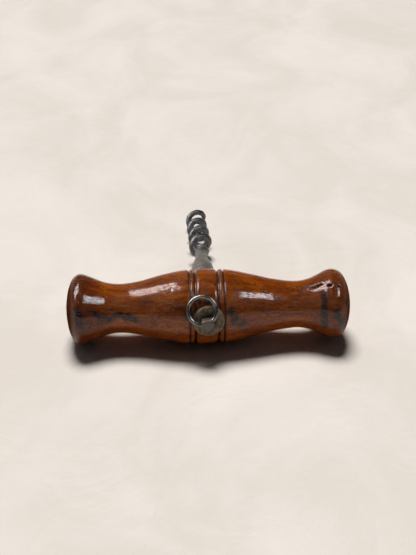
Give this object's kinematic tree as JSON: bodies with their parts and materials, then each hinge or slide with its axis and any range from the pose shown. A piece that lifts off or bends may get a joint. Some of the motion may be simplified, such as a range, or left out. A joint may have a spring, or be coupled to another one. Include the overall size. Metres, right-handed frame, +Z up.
{
  "type": "corkscrew",
  "caption": "Straight-pull corkscrew: a turned wooden cross handle on a forged steel shank and worm, with a washer and a hanging ring.",
  "frame": {"origin": "on the table, under the middle of the bounding box of the corkscrew lying down", "axes": "+X along the handle, +Y along the shank towards the point of the worm, +Z up from the table"},
  "size_m": [0.105, 0.1188, 0.028],
  "materials": {
    "turned_wood": "worn dark reddish-brown mahogany under an old glossy polish",
    "forged_steel": "hand-forged steel with a dark brown-grey patina, satin",
    "aged_brass": "brown-grey tarnished, dull, with a rubbed edge",
    "ring_steel": "dark polished steel wire"
  },
  "bodies": {
    "tool": {"handle": "turned_wood", "screw": "forged_steel", "washer": "aged_brass"},
    "ring": {"hanging_ring": "ring_steel"}
  },
  "joints": [
    {"name": "ring_swing", "type": "hinge", "parent": "tool", "child": "ring", "pos_m": [-0.00115, -0.05723, 0.01578], "axis": [0.9272, 0.0389, 0.3726], "range_deg": [0, 222]}
  ]
}
